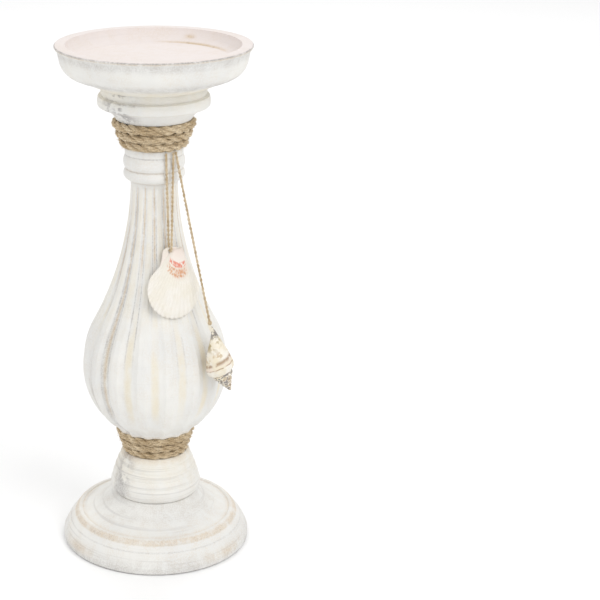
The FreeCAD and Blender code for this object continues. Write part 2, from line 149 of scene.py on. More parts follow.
def tubes(name, lines, radius, sides):
    # round tubes along several lines, as one mesh
    data = bpy.data.curves.new(name, "CURVE")
    data.dimensions = "3D"
    data.bevel_depth = radius
    data.bevel_resolution = sides
    data.use_fill_caps = True
    for line in lines:
        spline = data.splines.new("POLY")
        spline.points.add(len(line) - 1)
        for point, (place, width) in zip(spline.points, line):
            point.co = (*place, 1)
            point.radius = width
    curve = bpy.data.objects.new(name, data)
    scene.collection.objects.link(curve)
    bpy.context.view_layer.update()
    mesh = bpy.data.meshes.new_from_object(curve)
    bpy.data.objects.remove(curve)
    mesh.name = name
    return mesh


def hairs(points, pairs, look):
    # loose fibres that stand out from a line
    chance = random.Random(look["seed"])
    lines = []
    for _ in range(look["hairs"]):
        i = chance.randrange(2, len(points) - 2)
        side, up = pairs[i]
        angle = chance.uniform(0, math.tau)
        out = side * math.cos(angle) + up * math.sin(angle)
        along = (points[i + 1] - points[i]).normalized() * chance.choice((-1, 1))
        length = chance.uniform(0.4, 1.0) * look["hairLength"]
        bend = Vector([chance.uniform(-1, 1) for _ in range(3)]) * length * 0.3
        start = points[i] + out * look["hairRoot"]
        lean = chance.uniform(0.15, 0.6)
        line = []
        for step in range(5):
            share = step / 4
            place = start + along * length * share + out * length * lean * share
            line.append((place + bend * share * share, 1 - 0.7 * share))
        lines.append(line)
    return lines


def joinMeshes(name, meshes):
    joined = bmesh.new()
    for mesh in meshes:
        joined.from_mesh(mesh)
        bpy.data.meshes.remove(mesh)
    whole = bpy.data.meshes.new(name)
    joined.to_mesh(whole)
    joined.free()
    return whole


def placePiece(name, mesh, body, slot, material, *stoodFor):
    mesh.shade_smooth()
    mesh.materials.clear()
    mesh.materials.append(material)
    piece = bpy.data.objects.new(name, mesh)
    scene.collection.objects.link(piece)
    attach(piece, body)
    if stoodFor:
        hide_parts(*stoodFor)
    return piece


# shader maths


class Flow:
    # one socket; arithmetic on it adds Math nodes
    def __init__(self, paint, socket):
        self.paint = paint
        self.socket = socket

    def math(self, operation, *others):
        return self.paint.add("Math", [self, *others], operation=operation)

    def __add__(self, other):
        return self.math("ADD", other)

    def __sub__(self, other):
        return self.math("SUBTRACT", other)

    def __mul__(self, other):
        return self.math("MULTIPLY", other)

    __radd__ = __add__

    def step(self, low, high):
        # 0 below low, 1 above high and smooth between; low may be the larger
        return self.paint.add("MapRange", [self, low, high], interpolation_type="SMOOTHSTEP")

    def near(self, middle, reach):
        return (self - middle).math("ABSOLUTE").step(reach, 0)

    def most(self, other):
        return self.math("MAXIMUM", other)


class Paint:
    # a material and the one way that its nodes are made
    def __init__(self, name):
        self.material = bpy.data.materials.new(name)
        self.material.use_nodes = True
        self.tree = self.material.node_tree
        self.shader = self.tree.nodes["Principled BSDF"]
        self.place = self.add("TexCoord", output="Object")
        self.x, self.y, self.z = [self.add("SeparateXYZ", [self.place], output=i) for i in range(3)]

    def add(self, kind, values=(), output=0, **settings):
        node = self.tree.nodes.new("ShaderNode" + kind)
        for key, value in settings.items():
            setattr(node, key, value)
        pairs = values.items() if isinstance(values, dict) else enumerate(values)
        for key, value in pairs:
            if isinstance(value, Flow):
                self.tree.links.new(value.socket, node.inputs[key])
            else:
                node.inputs[key].default_value = value
        return Flow(self, node.outputs[output])

    def noise(self, scale, detail=3.0, stretch=(1, 1, 1), shift=(0, 0, 0), place=None, rough=0.55):
        moved = self.add("Mapping", {"Vector": place or self.place, "Scale": stretch, "Location": shift})
        values = {"Vector": moved, "Scale": scale, "Detail": detail, "Roughness": rough}
        return self.add("TexNoise", values)

    def cells(self, scale, place=None, spread=1.0):
        values = {"Vector": place or self.place, "Scale": scale, "Randomness": spread}
        return self.add("TexVoronoi", values)

    def mix(self, factor, first, second):
        tints = [value if isinstance(value, Flow) else (*value, 1) for value in (first, second)]
        values = {0: factor, 6: tints[0], 7: tints[1]}
        return self.add("Mix", values, output=2, data_type="RGBA")

    def use(self, **values):
        # values or links of the shader's sockets
        for name, value in values.items():
            socket = self.shader.inputs[name.replace("_", " ")]
            if isinstance(value, Flow):
                self.tree.links.new(value.socket, socket)
            else:
                socket.default_value = value

    def bump(self, height, strength, distance):
        values = {"Height": height, "Strength": strength, "Distance": distance}
        self.use(Normal=self.add("Bump", values))


# finishes

chalk = {
    "white": (0.80, 0.79, 0.755),
    "cool": (0.745, 0.745, 0.73),
    "cream": (0.79, 0.725, 0.57),
    "beige": (0.64, 0.51, 0.355),
    "brown": (0.33, 0.235, 0.165),
    "grey": (0.36, 0.345, 0.34),
    "blush": (0.775, 0.715, 0.69),
}


def chalkPaint(name, worn=None, greyed=None, creamed=None, blushed=None, lathe=0.3, grained=0.3):
    # matt chalk paint; each mask says where it is rubbed to the wood, greyed (scuffs, and on the dish
    # painted shade), yellowed or pink
    paint = Paint(name)
    cloudy = paint.noise(26, 4)
    strokes = paint.noise(50, 4, stretch=(0.3, 0.3, 16))
    grain = paint.noise(900, 4, stretch=(1, 1, 0.12))
    patchy = paint.noise(170, 5, stretch=(1, 1, 0.6), shift=(0.3, 0.1, 0.7))
    fine = paint.noise(1500, 3)
    speckled = fine.step(0.38, 0.62)
    tint = paint.mix(cloudy.step(0.35, 0.7), chalk["white"], chalk["cool"])
    if blushed:
        tint = paint.mix(blushed(paint), tint, chalk["blush"])
    if creamed:
        tint = paint.mix(creamed(paint) * (patchy.step(0.25, 0.6) * 0.7 + 0.3), tint, chalk["cream"])
    tint = paint.mix(strokes.step(0.54, 0.72) * lathe, tint, chalk["grey"])
    dusted = speckled * (patchy * 0.6 + cloudy * 0.4).step(0.40, 0.62)
    tint = paint.mix(dusted * grained * 0.5, tint, chalk["beige"])
    relief = strokes * lathe * 1.4 + fine * 0.30 + patchy * 0.35
    if greyed:
        # grey marks: scuffs, and on the dish also painted shade under the rim and round the foot of the
        # bowl
        scuffsAndShade = greyed(paint) * (speckled * 0.5 + patchy.step(0.3, 0.65) * 0.5)
        scuffsAndShade = scuffsAndShade.math("MINIMUM", 1)
        tint = paint.mix(scuffsAndShade, tint, chalk["grey"])
        relief = relief - scuffsAndShade * 0.3
    if worn:
        bare = (worn(paint) * (speckled * 0.35 + patchy.step(0.2, 0.55) * 0.65)).math("MINIMUM", 1)
        wood = paint.mix(grain.step(0.42, 0.72) * bare, chalk["beige"], chalk["brown"])
        tint = paint.mix(bare, tint, wood)
        relief = relief - bare * 0.4
    paint.use(Base_Color=tint, Roughness=0.62 + fine * 0.25, Specular_IOR_Level=0.22)
    paint.bump(relief, 0.4, 0.0008)
    return paint.material


def turnOf(paint):
    # the azimuth in radians, 0 at the front and growing to the right
    return paint.x.math("ARCTAN2", paint.y * -1)


def reachOf(paint):
    return (paint.x * paint.x + paint.y * paint.y).math("SQRT")


# where the paint is marked: heights and reaches in metres, turns in radians,
# and a pair holds the two ends of a fade

stemMarks = {
    "flutes": 16, "ridge": -0.7854, "edges": -0.785, "left": -1.0, "lip": 0.0702,
    "collarFoot": 0.2165, "collarMiddle": 0.2229, "collarHead": 0.2307,
    "underCollar": (0.2165, 0.2120), "bareNeck": (0.145, 0.175), "darkNeck": (0.10, 0.16),
    "ridgeFoot": (0.08, 0.10), "edgeFoot": (0.075, 0.09),
    "bellyFoot": (0.078, 0.096), "bellyHead": (0.160, 0.138), "creamNeck": (0.125, 0.16),
    "creamHead": (0.2165, 0.21),
}


def filletMask(paint):
    # 1 on the narrow fillets between the flutes, -1 in the flutes
    return (turnOf(paint) * stemMarks["flutes"]).math("COSINE")


def stemWear(paint):
    streak = paint.noise(60, 3, stretch=(1, 1, 0.2), shift=(0.2, 0.5, 0.1))
    fillet = filletMask(paint)
    neck = paint.z.step(*stemMarks["underCollar"])
    rubbed = fillet.step(0.78, 0.98) * paint.z.step(*stemMarks["bareNeck"]) * neck
    rubbed = rubbed * streak.step(0.36, 0.56) * 0.8
    ridge = turnOf(paint).near(stemMarks["ridge"], 0.05) * fillet.step(0.7, 0.95)
    ridge = ridge * paint.z.step(*stemMarks["ridgeFoot"]) * neck
    collar = paint.z.near(stemMarks["collarFoot"], 0.0012)
    collar = collar.most(paint.z.near(stemMarks["collarMiddle"], 0.001))
    lip = paint.z.near(stemMarks["lip"], 0.0009)
    return rubbed.most(collar * 0.3).most(lip * 0.4).most(ridge * 0.7)


def stemGrey(paint):
    dark = paint.noise(42, 4, stretch=(1, 1, 0.25), shift=(0.7, 0.2, 0.4))
    fillet = filletMask(paint)
    neck = paint.z.step(*stemMarks["underCollar"])
    edges = fillet.near(0.45, 0.42) * turnOf(paint).near(stemMarks["edges"], 0.13)
    edges = edges * paint.z.step(*stemMarks["edgeFoot"]) * neck * 1.5
    left = turnOf(paint).near(stemMarks["left"], 0.75) * fillet.step(-0.2, 0.9)
    left = left * dark.step(0.42, 0.6) * neck * 0.7
    around = fillet.near(0.55, 0.25) * dark.step(0.42, 0.58)
    around = around * paint.z.step(*stemMarks["darkNeck"]) * neck * 1.17
    marks = edges.most(left).most(around)
    for level in ("collarFoot", "collarMiddle", "collarHead"):
        marks = marks.most(paint.z.near(stemMarks[level], 0.0007) * 0.5)
    return marks


def stemCream(paint):
    # soft yellow along the front fillets of the belly, and faintly in the flutes higher up
    streak = paint.noise(38, 2, stretch=(1, 1, 0.3), shift=(0.9, 0.4, 0.2))
    fillet = filletMask(paint)
    belly = paint.z.step(*stemMarks["bellyFoot"]) * paint.z.step(*stemMarks["bellyHead"])
    belly = belly * fillet.step(0.35, 1.0) * streak.step(0.28, 0.55) * 0.72
    higher = fillet.step(0.2, -0.6) * paint.z.step(*stemMarks["creamNeck"]) * 0.35
    return belly.most(higher * paint.z.step(*stemMarks["creamHead"]))


baseMarks = {
    "ring": 0.0163, "edge": 0.0056, "right": 0.85, "left": -1.0, "line": 0.0120,
    "foot": (0.0022, 0.0004), "darkerLow": (0.0120, 0.0010), "top": (0.0185, 0.024),
}


def baseWear(paint):
    ring = (paint.z.near(baseMarks["ring"], 0.0019) * 1.4).math("MINIMUM", 0.60)
    sides = turnOf(paint).near(baseMarks["right"], 0.5).most(turnOf(paint).near(baseMarks["left"], 0.4))
    return ring.most(paint.z.near(baseMarks["edge"], 0.0045) * sides * 0.55)


def baseGrey(paint):
    foot = paint.z.step(*baseMarks["foot"]) * 0.8
    # the base turns darker towards the bottom, from 12 mm down
    darkerLow = paint.z.step(*baseMarks["darkerLow"]) * 0.42
    line = paint.z.near(baseMarks["line"], 0.0007) * 0.35
    top = paint.z.step(*baseMarks["top"]) * 0.22
    return foot.most(darkerLow).most(line).most(top)


hubMarks = {"head": 0.0540, "left": -0.95, "cream": (0.030, 0.052)}


def hubWear(paint):
    return paint.z.near(hubMarks["head"], 0.0030) * 0.35


def hubGrey(paint):
    chips = paint.noise(120, 4, shift=(0.5, 0.3, 0.9))
    return turnOf(paint).near(hubMarks["left"], 0.45) * chips.step(0.44, 0.54) * 0.95


def hubCream(paint):
    return paint.z.step(*hubMarks["cream"]) * 0.28


capitalMarks = {
    "hollow": 0.2575, "scrape": 0.2629, "scrapeTurn": -0.5, "left": -0.72,
    "cream": (0.256, 0.2665),
}


def capitalWear(paint):
    return paint.z.near(capitalMarks["hollow"], 0.0008) * 0.25


def capitalGrey(paint):
    chips = paint.noise(110, 4, stretch=(1, 1, 1.6), shift=(0.1, 0.8, 0.6))
    left = turnOf(paint).near(capitalMarks["left"], 0.55) * chips.step(0.45, 0.53) * 1.2
    scrape = turnOf(paint).near(capitalMarks["scrapeTurn"], 0.5)
    return left.most(scrape * paint.z.near(capitalMarks["scrape"], 0.0009))


def capitalCream(paint):
    return paint.z.step(*capitalMarks["cream"]) * 0.3


dishMarks = {
    "outside": (0.0495, 0.0515), "lip": (0.0524, 0.0530), "lipHead": 0.2901, "lipWood": 0.2896,
    "under": 0.2872, "lower": 0.2740, "cream": (0.2745, 0.270),
    "corner": 0.0410, "floor": 0.2838, "back": 2.45,
    "smudge": 2.68, "smudgeHeight": 0.2870, "wall": (0.047, 0.045),
    "band": (0.2901, 0.2904), "well": (0.0485, 0.0478), "wellFoot": (0.2825, 0.2836),
}


def dishWear(paint):
    corner = reachOf(paint).near(dishMarks["corner"], 0.0022) * paint.z.near(dishMarks["floor"], 0.0020)
    corner = corner * turnOf(paint).near(dishMarks["back"], 0.85) * 1.3
    smudge = turnOf(paint).near(dishMarks["smudge"], 0.12) * reachOf(paint).step(*dishMarks["wall"])
    smudge = smudge * paint.z.near(dishMarks["smudgeHeight"], 0.0022) * 1.1
    grazed = reachOf(paint).step(*dishMarks["lip"]) * paint.z.near(dishMarks["lipWood"], 0.0008) * 0.5
    return corner.most(smudge).most(grazed)


def dishGrey(paint):
    lip = reachOf(paint).step(*dishMarks["lip"]) * paint.z.near(dishMarks["lipHead"], 0.0009) * 1.2
    # painted shade: a grey band on the outside just under the overhanging rim, fading downward
    under = paint.z.near(dishMarks["under"], 0.0042) * reachOf(paint).step(*dishMarks["outside"]) * 0.42
    # painted shade: a grey band round the foot of the bowl, where it turns under
    lower = paint.z.near(dishMarks["lower"], 0.0040) * 0.55
    return lip.most(under).most(lower)


def dishCream(paint):
    return paint.z.step(*dishMarks["cream"]) * 0.5


def dishBlush(paint):
    # pink in the well and on the flat band round it
    well = paint.z.step(*dishMarks["wellFoot"]) * reachOf(paint).step(*dishMarks["well"])
    return well.most(paint.z.step(*dishMarks["band"]))


bareWoodLook = {"pale": (0.62, 0.43, 0.25), "dark": (0.38, 0.22, 0.11)}


def bareWood(name):
    paint = Paint(name)
    grain = paint.noise(420, 5, stretch=(1, 1, 0.06))
    rings = (reachOf(paint) * 5200 + grain * 5).math("SINE").step(-0.4, 0.9)
    tint = paint.mix(rings * 0.6 + grain * 0.4, bareWoodLook["pale"], bareWoodLook["dark"])
    paint.use(Base_Color=tint, Roughness=0.55 + grain * 0.2)
    paint.bump(grain, 0.3, 0.0004)
    return paint.material


feltLook = {"dark": (0.105, 0.10, 0.095), "pale": (0.19, 0.18, 0.17)}


def pressedFelt(name):
    paint = Paint(name)
    tangle = paint.noise(700, 8, stretch=(1, 0.4, 1), rough=0.75)
    crossed = paint.noise(640, 8, stretch=(0.4, 1, 1), shift=(1, 2, 0), rough=0.75)
    fibres = tangle * 0.5 + crossed * 0.5
    paint.use(
        Base_Color=paint.mix(fibres.step(0.38, 0.64), feltLook["dark"], feltLook["pale"]),
        Roughness=0.95, Sheen_Weight=0.4, Sheen_Roughness=0.6,
    )
    paint.bump(fibres, 0.6, 0.0008)
    return paint.material


zincLook = {"bright": (0.66, 0.66, 0.63), "dull": (0.44, 0.43, 0.38)}


def zincSteel(name):
    paint = Paint(name)
    spangle = paint.cells(900)
    film = paint.noise(380, 4)
    tint = paint.mix(film.step(0.35, 0.65), zincLook["bright"], zincLook["dull"])
    paint.use(Base_Color=tint, Metallic=1.0, Roughness=0.26 + spangle * 0.2 + film * 0.12)
    paint.bump(film, 0.12, 0.0003)
    return paint.material


juteLook = {"straw": (0.53, 0.40, 0.235), "pale": (0.73, 0.60, 0.41), "deep": (0.17, 0.11, 0.055)}


def juteFibre(name, scale, darker=0.0):
    paint = Paint(name)
    wide = paint.noise(120 * scale, 3)
    fibres = paint.noise(2600 * scale, 4, stretch=(1, 1, 0.5))
    flecks = paint.noise(900 * scale, 3, shift=(3, 1, 2))
    tint = paint.mix(wide.step(0.35, 0.65), juteLook["straw"], juteLook["pale"])
    tint = paint.mix(fibres.step(0.42, 0.70) * 0.7 + darker, tint, juteLook["deep"])
    tint = paint.mix(flecks.step(0.54, 0.70) * 0.55, tint, juteLook["pale"])
    paint.use(Base_Color=tint, Roughness=0.85, Sheen_Weight=0.15)
    paint.bump(fibres + flecks * 0.5, 0.6, 0.0003)
    return paint.material


ropeFibre = juteFibre("ropeFibre", 1.0)
twineFibre = juteFibre("twineFibre", 1.6, -0.06)
print("jute mixed")

# the two twines

twineLook = {
    "diameter": 0.0011, "strands": 2, "yarns": 2, "lay": 0.0052, "yarnLay": 0.0034,
    "strandReach": 0.00032, "yarnReach": 0.00019, "yarnRadius": 0.00026, "slack": 0.00016,
    "step": 0.00032, "seed": 11, "hairs": 150, "hairLength": 0.0026, "hairRoot": 0.0004,
    "hairRadius": 0.00003,
}
scallopRoute = [
    (0.0104, -0.0142, 0.2344),
    (0.0102, -0.0153, 0.2276),
    (0.0093, -0.0200, 0.1872),
    (0.0092, -0.0207, 0.1806),
    (0.00774, -0.01726, 0.18035),
    (0.0076, -0.0172, 0.1872),
    (0.0065, -0.0169, 0.2276),
    (0.0064, -0.0163, 0.2344),
]
whelkRoute = [
    (0.0116, -0.0130, 0.2344),
    (0.0126, -0.0133, 0.2276),
    (0.0300, -0.0291, 0.1422),
]


def makeTwine(name, route, look, body, node):
    path = smoothLine(name, [Vector(place) for place in route])
    length = sum((there - here).length for here, there in zip(path, path[1:]))
    points = evenSteps(path, look["step"])
    pairs = sideways(points)
    strands = tubes(name, windStrands(points, pairs, look), look["yarnRadius"], 2)
    fuzz = tubes(name + "Fuzz", hairs(points, pairs, look), look["hairRadius"], 0)
    mesh = joinMeshes(name, [strands, fuzz])
    piece = placePiece(name, mesh, body, "jute_twine", twineFibre, node)
    print(f"{name} is {length * 1000:.1f} mm long")
    return piece, path, length


scallopTwine, scallopPath, scallopLength = makeTwine(
    "scallopTwine", scallopRoute, twineLook, "scallop_hanger", "scallop_twine")
whelkTwine, whelkPath, whelkLength = makeTwine(
    "whelkTwine", whelkRoute, twineLook, "whelk_hanger", "whelk_twine")

# the knot at the tip of the whelk

knotLook = {
    "bend": 0.00072, "height": 0.00062, "radius": 0.00030, "steps": 60,
    "coreLength": 0.0024, "coreWidth": 1.7, "coreTaper": 0.8, "coreSteps": 6,
}


def makeKnot(look):
    middle = Vector(whelkRoute[-1])
    hang = (middle - Vector(whelkRoute[-2])).normalized()
    side = hang.orthogonal().normalized()
    across = hang.cross(side)
    lines = []
    for tie in range(2):
        line = []
        for i in range(look["steps"] + 1):
            angle = math.tau * i / look["steps"]
            reach = look["bend"] * (1 + 0.28 * math.cos(3 * angle + tie))
            climb = look["height"] * math.sin(3 * angle) * 0.7 + (tie - 0.5) * look["height"]
            place = middle + side * math.cos(2 * angle) * reach + across * math.sin(2 * angle) * reach
            line.append((place + hang * climb, 1.0))
        lines.append(line)
    core = []
    for i in range(look["coreSteps"] + 1):
        share = i / look["coreSteps"]
        width = look["coreWidth"] - abs(share * 2 - 1) * look["coreTaper"]
        core.append((middle + hang * (share - 0.5) * look["coreLength"], width))
    mesh = tubes("whelkKnot", [*lines, core], look["radius"], 2)
    return placePiece("whelkKnot", mesh, "whelk_hanger", "jute_twine", twineFibre, "whelk_knot")


whelkKnot = makeKnot(knotLook)
print("twines laid")

# rope wraps

wrapLook = {
    "turns": 3, "climb": 0.10, "hide": 0.035, "strands": 3, "yarns": 4, "lay": 0.0185,
    "yarnLay": 0.0130, "strandReach": 0.00132, "yarnReach": 0.00072, "yarnRadius": 0.00070,
    "slack": 0.00070, "step": 0.0007, "seed": 5, "hairs": 1500, "hairLength": 0.0045,
    "hairRoot": 0.0022, "hairRadius": 0.00006, "tuck": 0.0028, "waver": 0.00022, "waverScale": 2.3,
    "pointsPerTurn": 220,
}
lowerWrap = {"foot": 0.0161, "head": 0.0206, "bottom": 0.0550, "height": 0.0144, "turn": 0.4}
upperWrap = {"foot": 0.0158, "head": 0.0214, "bottom": 0.2351, "height": 0.0151, "turn": 1.9}


def wrapLine(look, size):
    # rings of rope that step up one row at the back
    row = size["height"] / look["turns"]
    points = []
    steps = look["turns"] * look["pointsPerTurn"]
    for i in range(steps + 1):
        turn = i / steps * look["turns"]
        rows = 0.5
        for joint in range(1, look["turns"]):
            share = min(1, max(0, (turn - joint) / look["climb"] + 0.5))
            rows += share * share * (3 - 2 * share)
        rise = rows * row
        reach = size["foot"] + (size["head"] - size["foot"]) * rise / size["height"]
        end = min(turn, look["turns"] - turn)
        reach -= look["tuck"] * max(0, 1 - end / look["hide"]) ** 2  # the cut ends are tucked in
        angle = math.tau * turn + math.pi / 2
        way = Vector((math.cos(angle), math.sin(angle), turn))
        waver = look["waver"] * noise.noise(way * look["waverScale"])
        points.append(Vector((
            (reach + waver) * math.cos(angle), (reach + waver) * math.sin(angle),
            size["bottom"] + rise + waver)))
    return points


def makeWrap(name, look, size, node):
    points = evenSteps(wrapLine(look, size), look["step"])
    pairs = sideways(points)
    strands = tubes(name, windStrands(points, pairs, look, size["turn"]), look["yarnRadius"], 1)
    fuzz = tubes(name + "Fuzz", hairs(points, pairs, look), look["hairRadius"], 0)
    mesh = joinMeshes(name, [strands, fuzz])
    print(f"{name}: {len(mesh.polygons)} faces")
    return placePiece(name, mesh, "stand", "jute_rope", ropeFibre, node)


makeWrap("lowerWrap", wrapLook, lowerWrap, "lower_rope")
makeWrap("upperWrap", wrapLook, upperWrap, "upper_rope")
print("ropes wound")

# scallop

scallopSize = {
    "azimuth": 24.0, "tilt": 15.0, "reach": 0.0201, "level": 0.1801,
    "umbo": (0.0045, 0.0023), "centre": (-0.0002, -0.0216), "rim": 0.0155, "depth": 0.0052,
    "ribs": 19, "ribHeight": 0.00009, "wall": 0.0009, "across": 126, "down": 44,
    "hole": 0.00125, "plate": 0.0012, "blunt": 0.0021, "rest": 0.0011, "crown": 0.78,
    "dip": 0.0010, "ring": 0.00010, "bevel": 0.00025,
    "ears": [  # the outline of the two ears and the plate behind the beak, in millimetres
        (-4.0, 1.2), (-1.8, 2.2), (3.0, 2.1), (6.2, 1.0), (7.6, -5.0),
        (6.0, -13.5), (-6.5, -13.5), (-8.2, -10.0), (-5.4, -4.0)],
}
scallopTint = {
    "cream": (0.80, 0.76, 0.67), "white": (0.83, 0.80, 0.74), "pink": (0.80, 0.65, 0.59),
    "coral": (0.72, 0.15, 0.08), "orange": (0.62, 0.27, 0.11), "shade": (0.62, 0.55, 0.46),
}


def fanPoint(size, fan, share):
    # a place on the valve: fan from -1 to 1 across, share from the umbo to the margin
    umbo = Vector(size["umbo"])
    centre = Vector(size["centre"])
    axis = centre - umbo
    widest = math.asin(size["rim"] / axis.length) * 0.985
    angle = math.atan2(axis.y, axis.x) + fan * widest
    way = Vector((math.cos(angle), math.sin(angle)))
    middle = axis.dot(way)
    reach = middle + math.sqrt(max(0, size["rim"] ** 2 - axis.length_squared + middle ** 2))
    wave = math.cos(fan * math.pi * size["ribs"])
    reach *= 1 + 0.004 * wave
    spot = umbo + way * (reach * (0.03 + 0.97 * share))
    spot.x += fan * size["blunt"] * (1 - share) ** 2  # the beak is blunt
    crown = math.sin(math.pi * min(1, share) ** 0.72) ** 0.8 if 0 < share < 1 else 0
    side = 1 - abs(fan) ** 2.6
    height = size["rest"] + size["depth"] * size["crown"] * crown * side
    height -= size["dip"] * share ** 3
    height += size["ribHeight"] * wave * share ** 0.8 * side
    height += size["ring"] * math.sin(share * 42 + 1.5 * math.sin(share * 9)) * share
    return Vector((spot.x, spot.y, height))


def makeScallop(size, material):
    shell = bmesh.new()
    bmesh.ops.create_grid(shell, x_segments=size["across"], y_segments=size["down"], size=1)
    fanLayer = shell.verts.layers.float_vector.new("fan")
    for vertex in shell.verts:
        fan, share = vertex.co.x, (vertex.co.y + 1) / 2
        vertex[fanLayer] = (fan, share, 0)
        vertex.co = fanPoint(size, fan, share)
    bmesh.ops.recalc_face_normals(shell, faces=shell.faces)
    if sum(face.normal.z for face in shell.faces) < 0:
        bmesh.ops.reverse_faces(shell, faces=shell.faces)
    bmesh.ops.solidify(shell, geom=shell.faces[:], thickness=size["wall"])
    ears = bmesh.new()
    earLayer = ears.verts.layers.float_vector.new("fan")
    hole = bmesh.ops.create_circle(ears, segments=28, radius=size["hole"])["verts"]
    outline = [ears.verts.new((x / 1000, y / 1000, 0)) for x, y in size["ears"]]
    edges = [ears.edges.new((outline[i - 1], outline[i])) for i in range(len(outline))]
    bmesh.ops.subdivide_edges(ears, edges=edges, cuts=4)
    bmesh.ops.bridge_loops(ears, edges=ears.edges[:])
    bmesh.ops.recalc_face_normals(ears, faces=ears.faces)
    sheet = ears.faces[:]
    raised = bmesh.ops.extrude_face_region(ears, geom=sheet)["geom"]
    top = [item for item in raised if isinstance(item, bmesh.types.BMVert)]
    bmesh.ops.translate(ears, verts=top, vec=(0, 0, size["plate"]))
    bmesh.ops.recalc_face_normals(ears, faces=ears.faces)
    rims = [edge for edge in ears.edges if edge.is_manifold and edge.calc_face_angle() > 1]
    bmesh.ops.bevel(
        ears, geom=rims, offset=size["bevel"], offset_type="OFFSET", segments=2, profile=0.5,
        affect="EDGES", clamp_overlap=True, material=-1)
    for vertex in ears.verts:
        vertex[earLayer] = (-0.9 if vertex.co.x < 0 else 0.9, 0.12, 0)
        if vertex.co.xy.length > size["hole"] * 1.2:
            vertex.co.z += 0.00008 * math.sin(vertex.co.x * 5200 + vertex.co.y * 2600)
    earMesh = bpy.data.meshes.new("ears")
    ears.to_mesh(earMesh)
    ears.free()
    shell.from_mesh(earMesh)
    bpy.data.meshes.remove(earMesh)
    turn = Matrix.Rotation(math.radians(size["azimuth"]), 4, "Z")
    lean = Matrix.Rotation(math.radians(90 - size["tilt"]), 4, "X")
    place = Matrix.Translation(turn @ Vector((0, -size["reach"], size["level"])))
    bmesh.ops.transform(shell, matrix=place @ turn @ lean, verts=shell.verts)
    mesh = bpy.data.meshes.new("scallop")
    shell.to_mesh(mesh)
    shell.free()
    return placePiece("scallop", mesh, "scallop", "scallop_valve", material, "scallop_shell")


def scallopPaint(tints):
    paint = Paint("scallopPaint")
    fan = paint.add("Attribute", attribute_name="fan", output="Vector")
    across, share = [paint.add("SeparateXYZ", [fan], output=i) for i in range(2)]
    soft = paint.noise(130, 3)
    ribs = (across * (math.pi * scallopSize["ribs"])).math("COSINE")
    rings = paint.noise(9, 4, stretch=(0.6, 7, 1), place=fan)
    tint = paint.mix(soft.step(0.35, 0.65), tints["cream"], tints["white"])
    tint = paint.mix(share.step(0.35, 0.02) * soft.step(0.3, 0.6) * 0.55, tint, tints["pink"])
    tint = paint.mix(rings.step(0.5, 0.7) * 0.16, tint, tints["pink"])
    tint = paint.mix(ribs.step(-0.2, -1.0) * 0.12, tint, tints["shade"])
    spots = paint.cells(1.0, paint.add("Mapping", {"Vector": fan, "Scale": (13, 24, 1)}), 0.7)
    row = share.near(0.235, 0.055).step(0, 0.4) * across.near(-0.1, 0.85).step(0, 0.3)
    row = row * spots.step(0.70, 0.46)
    lower = share.near(0.35, 0.09).step(0, 0.5) * across.near(-0.1, 0.8).step(0, 0.35)
    lower = lower * spots.step(0.64, 0.38)
    glow = share.near(0.34, 0.15) * across.near(0.1, 0.8) * soft.step(0.3, 0.55)
    tint = paint.mix(glow * 0.42, tint, tints["orange"])
    tint = paint.mix(lower * 0.8, tint, tints["orange"])
    tint = paint.mix(row * 0.85, tint, tints["coral"])
    paint.use(Base_Color=tint, Roughness=0.34 + soft * 0.25, Specular_IOR_Level=0.45, Coat_Weight=0.08)
    paint.bump(ribs * 0.4 + rings * 0.5 + paint.noise(1500, 3) * 0.2, 0.25, 0.0003)
    return paint.material


makeScallop(scallopSize, scallopPaint(scallopTint))
print("scallop made")

# whelk

whelkSize = {
    "tip": (0.0304, -0.0294, 0.1401), "apex": (0.0420, -0.0321, 0.1031), "length": 0.038,
    "turns": 7.5, "steps": 34, "growth": 1.4, "around": 26, "aperture": 295,
    "lean": (-0.0022, -0.0018, 0.0), "reach": (0.0043, 0.0042), "waist": 0.0172, "shoulder": 0.0046,
    "canal": 0.0180, "canalReach": (0.0004, 0.0009), "ribs": 11, "ribHeight": 0.045, "ribHead": 0.60,
    "threads": 62, "threadHeight": 0.012, "lip": (0.72, 0.72, 0.9), "throatTurn": 0.12, "throat": 0.86,
}
whelkTint = {
    "cream": (0.80, 0.72, 0.56), "white": (0.86, 0.82, 0.74), "tan": (0.52, 0.37, 0.19),
    "olive": (0.40, 0.31, 0.15), "brown": (0.34, 0.20, 0.10), "grey": (0.20, 0.18, 0.17),
    "pink": (0.80, 0.60, 0.48),
}


def whorlRing(size, bm, wind):
    # the outline of the last whorl, with its long canal, in the plane through the axis
    ring = bmesh.ops.create_circle(bm, segments=size["around"], radius=1)["verts"]
    for vertex in ring:
        across, along = vertex.co.x, vertex.co.y
        vertex[wind] = (along, size["turns"], 0)
        middle, half = size["reach"]
        radius = middle + half * across
        height = size["waist"] - size["shoulder"] * along
        if along < 0:
            middle, half = size["canalReach"]
            tail = (-along) ** 1.9
            height += size["canal"] * (-along) ** 1.25
            radius = radius * (1 - tail) + (middle + half * across) * tail
        vertex.co = (radius, 0, height)
    return ring


